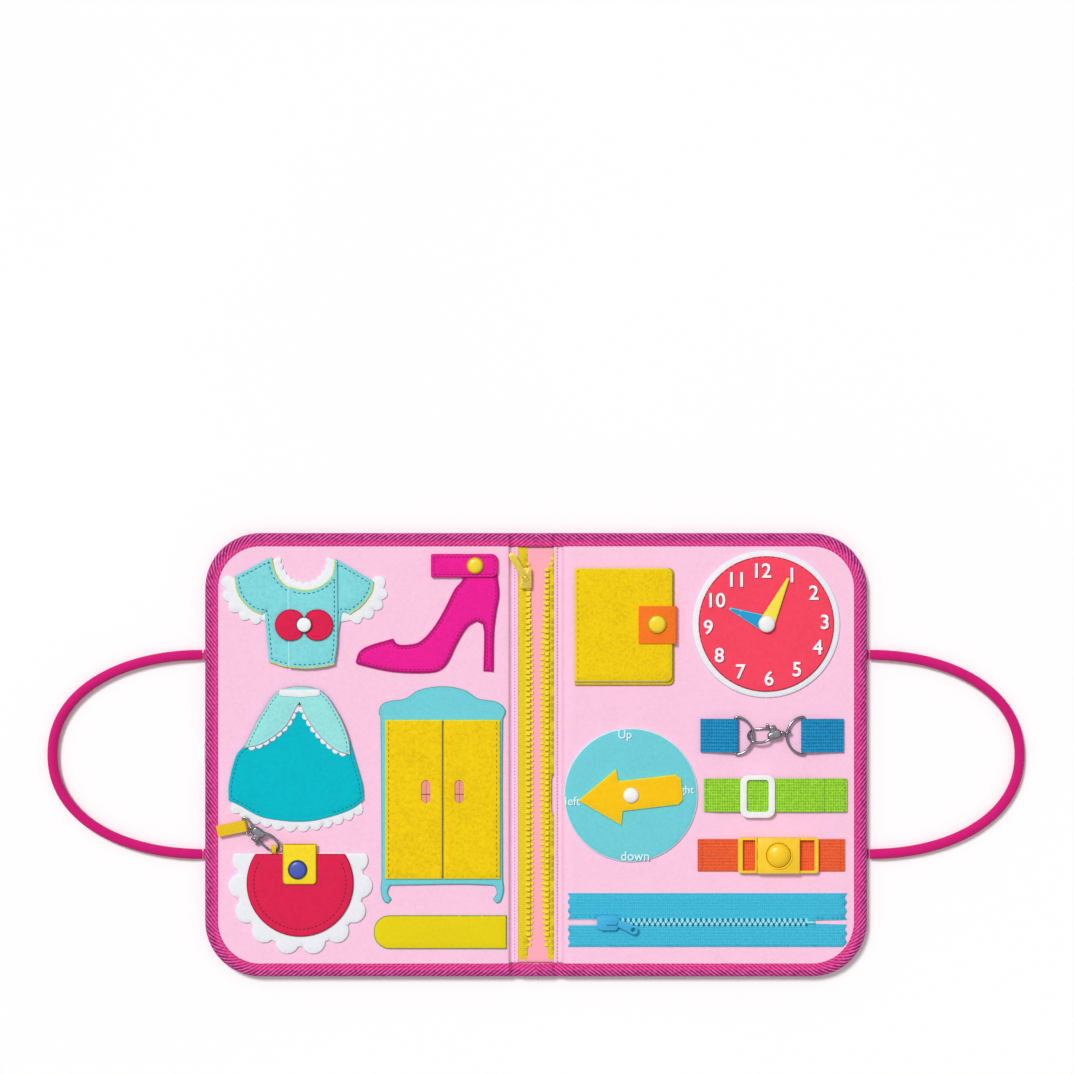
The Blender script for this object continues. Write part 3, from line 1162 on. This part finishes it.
def build_buckle_male(right):
    """Plug half of the buckle: a strap frame with two prongs."""
    low = BASE_LOW + WEBBING_THICKNESS + REST_GAP
    at = (MALE_X[1], BUCKLE_CENTRE[1])
    corner = BUCKLE_CORNER
    frame = plate("buckle_male", rounded(MALE_X[0], BUCKLE_Y[0], MALE_X[1], BUCKLE_Y[1], (corner, 0, 0, corner)),
                  low, low + FRAME_THICKNESS, "buckle_yellow", at, [rectangle(*MALE_WINDOW)])
    slide = pivot("buckle_male_axis", (*at, low), right)
    attach(join(frame, prong("buckle_prong_near", -1), prong("buckle_prong_far", 1)), slide)


def build_buckle_female(right):
    """Socket half of the buckle: a housing with a round opening for the button and a strap frame."""
    y = BUCKLE_CENTRE[1]
    low = BASE_LOW + WEBBING_THICKNESS + REST_GAP
    corner = BUCKLE_CORNER
    at = ((HOUSING_X[0] + HOUSING_X[1]) / 2, y)
    housing = plate("buckle_female", rectangle(HOUSING_X[0], BUCKLE_Y[0], HOUSING_X[1], BUCKLE_Y[1]), BASE_LOW,
                    HOUSING_TOP, "buckle_yellow", at)
    frame = plate("buckle_female_frame", rounded(CAVITY_END + CUT_OVERRUN, BUCKLE_Y[0], FEMALE_FRAME_END,
                                                 BUCKLE_Y[1], (0, corner, corner, 0)),
                  low, low + FRAME_THICKNESS, holes=[rectangle(*FEMALE_WINDOW)])
    ring = cylinder("buckle_button_ring", BUCKLE_CENTRE, BUTTON_RING_RADIUS, HOUSING_TOP - FRAME_THICKNESS / 2,
                    HOUSING_TOP + BUTTON_RING_HEIGHT, steps=ROUND_STEPS)
    prong_low = low + PRONG_LIFT
    cavity = block("buckle_cavity", (HOUSING_X[0] - CUT_OVERRUN, y - CAVITY_HALF, CAVITY_END, y + CAVITY_HALF),
                   prong_low - REST_GAP, prong_low + PRONG_THICKNESS + REST_GAP)
    hole = cylinder("buckle_button_hole", BUCKLE_CENTRE, BUTTON_HOLE_RADIUS, prong_low + PRONG_THICKNESS,
                    HOUSING_TOP + CUT_OVERRUN, steps=ROUND_STEPS)
    attach(cut(join(housing, frame, ring), cavity, hole), right)


def build_orange_straps(right):
    """Two short straps joined by a buckle with a push button."""
    near, far = ORANGE_Y
    top = BASE_LOW + WEBBING_THICKNESS
    for name, (start, end) in (("orange_strap_left", ORANGE_LEFT_X), ("orange_strap_right", ORANGE_RIGHT_X)):
        attach(plate(name, rectangle(start, near, end, far), BASE_LOW, top, "webbing_orange",
                     ((start + end) / 2, (near + far) / 2)), right)
    build_buckle_male(right)
    build_buckle_female(right)
    stem = BUTTON_STEM_LENGTH
    profile = [(BUTTON_RADIUS * across, BUTTON_HEIGHT * up) for across, up in BUTTON_DOME_SHARES]
    profile += [(BUTTON_STEM_RADIUS, 0), (BUTTON_STEM_RADIUS, -stem), (0, -stem)]
    button = turned("buckle_button", profile, (*BUCKLE_CENTRE, BUTTON_UNDERSIDE), "buckle_yellow", ROUND_STEPS)
    attach(button, right)


def slit_outline():
    """Outline of the blue zip's tapes, slit between them at both ends."""
    left, bottom, right, top = ZIP_TAPE
    left_gap, left_end = ZIP_LEFT_SLIT
    right_gap, right_end = ZIP_RIGHT_SLIT
    return [(left, bottom), (right - ZIP_TAPE_CUT, bottom), (right, bottom + ZIP_TAPE_CUT),
            (right, ZIP_Y - right_gap / 2), (right_end, ZIP_Y - right_gap / 2),
            (right_end, ZIP_Y + right_gap / 2), (right, ZIP_Y + right_gap / 2), (right, top), (left, top),
            (left, ZIP_Y + left_gap / 2), (left_end, ZIP_Y), (left, ZIP_Y - left_gap / 2)]


def build_blue_zip(right):
    """Blue zip with its tapes, row of teeth, end stop, slider and pull."""
    tape_top = BASE_LOW + ZIP_TAPE_THICKNESS
    bead_top = tape_top + ZIP_BEAD_RISE
    outline = slit_outline()
    at = (middle_of(outline)[0], ZIP_Y)
    tape = plate("blue_zip_tape", outline, BASE_LOW, tape_top, "zip_blue", at)
    bead = block("blue_zip_teeth", (ZIP_BEAD[0], ZIP_Y - ZIP_BEAD_HALF, ZIP_BEAD[1], ZIP_Y + ZIP_BEAD_HALF),
                 tape_top - ZIP_TAPE_THICKNESS / 2, bead_top)
    stop = block("blue_zip_stop", (ZIP_BEAD[1] - CUT_OVERRUN, ZIP_Y - ZIP_STOP_HALF, ZIP_STOP_END,
                                   ZIP_Y + ZIP_STOP_HALF), tape_top - ZIP_TAPE_THICKNESS / 2,
                 bead_top - REST_GAP)
    attach(join(tape, bead, stop), right)
    build_blue_slider(right, tape_top, bead_top)


def build_blue_slider(right, tape_top, bead_top):
    """Slider of the blue zip, with a pull that flips over."""
    start, end = ZIP_SLIDER
    half = ZIP_SLIDER_HALF
    nose = ZIP_SLIDER_NOSE
    outline = [(start, ZIP_Y - half + nose / 2), (start + nose, ZIP_Y - half), (end - nose, ZIP_Y - half),
               (end, ZIP_Y - half + nose), (end, ZIP_Y + half - nose), (end - nose, ZIP_Y + half),
               (start + nose, ZIP_Y + half), (start, ZIP_Y + half - nose / 2)]
    at = ((start + end) / 2, ZIP_Y)
    plate_low = bead_top + REST_GAP
    plate_top = plate_low + SLIDER_PLATE
    slider = plate("blue_zip_slider", outline, tape_top + REST_GAP, plate_top, "slider_blue", at)
    side = ZIP_STOP_HALF
    channel = block("blue_slider_channel", (start - CUT_OVERRUN, ZIP_Y - side, end + CUT_OVERRUN, ZIP_Y + side),
                    tape_top - CUT_OVERRUN, plate_low)
    bridge = block("blue_slider_bridge", (ZIP_BRIDGE[0], ZIP_Y - ZIP_BRIDGE_HALF, ZIP_BRIDGE[1],
                                          ZIP_Y + ZIP_BRIDGE_HALF), plate_top - SLIDER_PLATE / 2,
                   plate_top + ZIP_BRIDGE_HEIGHT)
    slide = pivot("blue_zip_slider_axis", (*at, plate_top), right)
    attach(join(cut(slider, channel), bridge), slide)
    flip = pivot("blue_zip_pull_axis", (ZIP_PULL_AXIS_X, ZIP_Y, ZIP_PULL_AXIS_Z), slide)
    root, tip = ZIP_PULL_HALVES
    length = ZIP_PULL_LENGTH
    end = arc((length - tip, 0), tip, -ZIP_PULL_TIP_SWEEP, ZIP_PULL_TIP_SWEEP, CORNER_STEPS)
    pull_outline = [(0, -root), (length - tip, -tip), *end, (length - tip, tip), (0, root)]
    hole_at, hole_radius = ZIP_PULL_HOLE
    place = (ZIP_PULL_AXIS_X, ZIP_Y)
    turned_pull = [(x + place[0], y + place[1]) for x, y in turn_points(pull_outline, ZIP_PULL_ANGLE)]
    hole = [(x + place[0], y + place[1]) for x, y in turn_points(circle((hole_at, 0), hole_radius, TURN_STEPS),
                                                                 ZIP_PULL_ANGLE)]
    low = plate_top + ZIP_PULL_LIFT
    pull = plate("blue_zip_pull", turned_pull, low, low + PULL_THICKNESS, "slider_blue", place, [hole])
    attach(pull, flip)


# Book, clock and dial on the right cover
def build_book(right):
    """Felt book: back cover, page and front cover with a tab that unsnaps."""
    corner = BOOK_CORNER
    radii = (0, corner, corner, 0)
    attach(felt("book_back", rounded(*BOOK_BACK, radii), 0, "felt_yellow", middle_of(rectangle(*BOOK_BACK))),
           right)
    page_low = BASE_LOW + LEVEL_STEP
    front_low = page_low + PAGE_THICKNESS + REST_GAP
    front_top = front_low + FELT_THICKNESS
    hinge_x = BOOK_FRONT[0]
    middle = (BOOK_FRONT[1] + BOOK_FRONT[3]) / 2
    cover_axis = pivot("book_cover_axis", (hinge_x, middle, front_top), right)
    page_axis = pivot("book_page_axis", (hinge_x, middle, front_top), right)
    attach(plate("book_page", rounded(*BOOK_PAGE, radii), page_low, page_low + PAGE_THICKNESS, "felt_white",
                 (hinge_x, middle)), page_axis)
    attach(plate("book_front", rounded(*BOOK_FRONT, radii), front_low, front_top, "felt_yellow",
                 (hinge_x, middle)), cover_axis)
    start, bottom, end, top = BOOK_TAB
    tab_low = front_top + REST_GAP
    tab_top = tab_low + FELT_THICKNESS
    turn_down = end - FELT_THICKNESS
    foot = BASE_LOW + REST_GAP
    profile = [(start, tab_low), (turn_down, tab_low), (turn_down, foot), (end, foot), (end, tab_top),
               (start, tab_top)]
    tab = side_plate("book_tab", profile, (0, (bottom + top) / 2, 0), (top - bottom) / 2, "felt_orange")
    attach(join(tab, snap_cap("book_snap", BOOK_SNAP, tab_top)), cover_axis)


def hand_outline(length, half):
    """Tapered clock hand with a round hub, pointing along X."""
    hub = arc((0, 0), half, *HAND_HUB_ANGLES, CORNER_STEPS * 2)
    return [(length, -HAND_TIP_HALF), (length, HAND_TIP_HALF), *hub]


def build_hand(name, length, half, angle, low, slot, right):
    """One clock hand, turning about the clock's centre."""
    axis = pivot(name + "_axis", (*CLOCK_CENTRE, low), right)
    shape = turn_points(hand_outline(length, half), angle)
    outline = [(x + CLOCK_CENTRE[0], y + CLOCK_CENTRE[1]) for x, y in shape]
    hole = circle(CLOCK_CENTRE, HAND_HOLE_RADIUS, TURN_STEPS)
    attach(plate(name, outline, low, low + HAND_THICKNESS, slot, CLOCK_CENTRE, [hole]), axis)


def rivet(name, centre, post_low, cap_low, cap_radius, right):
    """Round button on a post that holds turning pieces."""
    profile = [(cap_radius * across, PIVOT_CAP_HEIGHT * up) for across, up in PIVOT_CAP_SHARES]
    profile += [(PIVOT_POST_RADIUS, 0), (PIVOT_POST_RADIUS, post_low - cap_low), (0, post_low - cap_low)]
    attach(turned(name, profile, (*centre, cap_low), "plastic_white"), right)


def build_clock(right):
    """Clock face on a white rim, two hands and their centre button."""
    rim = FELT_THICKNESS
    thickness = 2 * FELT_THICKNESS
    profile = [(0, thickness), (CLOCK_FACE_RADIUS, thickness), (CLOCK_FACE_RADIUS, rim), (CLOCK_RIM_RADIUS, rim),
               (CLOCK_RIM_RADIUS, 0), (0, 0)]
    attach(turned("clock_face", profile, (*CLOCK_CENTRE, BASE_LOW), "felt_red", CLOCK_STEPS), right)
    first = BASE_LOW + thickness + REST_GAP
    second = first + HAND_THICKNESS + REST_GAP
    build_hand("clock_hour_hand", HOUR_LENGTH, HOUR_HALF, HOUR_ANGLE, first, "hand_blue", right)
    build_hand("clock_minute_hand", MINUTE_LENGTH, MINUTE_HALF, MINUTE_ANGLE, second, "hand_yellow", right)
    cap_low = second + HAND_THICKNESS + REST_GAP
    rivet("clock_button", CLOCK_CENTRE, first, cap_low, CLOCK_CAP_RADIUS, right)


def build_dial(right):
    """Direction dial with a felt arrow that turns on a button."""
    attach(felt("dial_face", circle(DIAL_CENTRE, DIAL_RADIUS, CLOCK_STEPS), 0, "felt_cyan", DIAL_CENTRE), right)
    low = BASE_LOW + LEVEL_STEP
    axis = pivot("dial_arrow_axis", (*DIAL_CENTRE, low), right)
    arrow = [(x + DIAL_CENTRE[0], y + DIAL_CENTRE[1]) for x, y in from_shares(ARROW_BOX, ARROW_SHARES)]
    hole = circle(DIAL_CENTRE, HAND_HOLE_RADIUS, TURN_STEPS)
    attach(felt("dial_arrow", arrow, 1, "felt_yellow", DIAL_CENTRE, [hole]), axis)
    cap_low = low + FELT_THICKNESS + REST_GAP
    rivet("dial_button", DIAL_CENTRE, low, cap_low, DIAL_CAP_RADIUS, right)


def main():
    """Build the whole board."""
    left = pivot("left_cover_axis", (-FOLD_LINE, 0, SKIN_LOW))
    right = pivot("right_cover_axis", (FOLD_LINE, 0, SKIN_LOW))
    build_spine()
    build_cover("left", -1, left)
    build_cover("right", 1, right)
    build_handle("left_handle", -1, left)
    build_handle("right_handle", 1, right)
    build_closure(left, right)
    build_dress(left)
    build_skirt(left)
    build_shoe(left)
    build_wardrobe(left)
    build_purse(left)
    build_blue_straps(right)
    build_green_strap(right)
    build_orange_straps(right)
    build_blue_zip(right)
    build_book(right)
    build_clock(right)
    build_dial(right)


main()
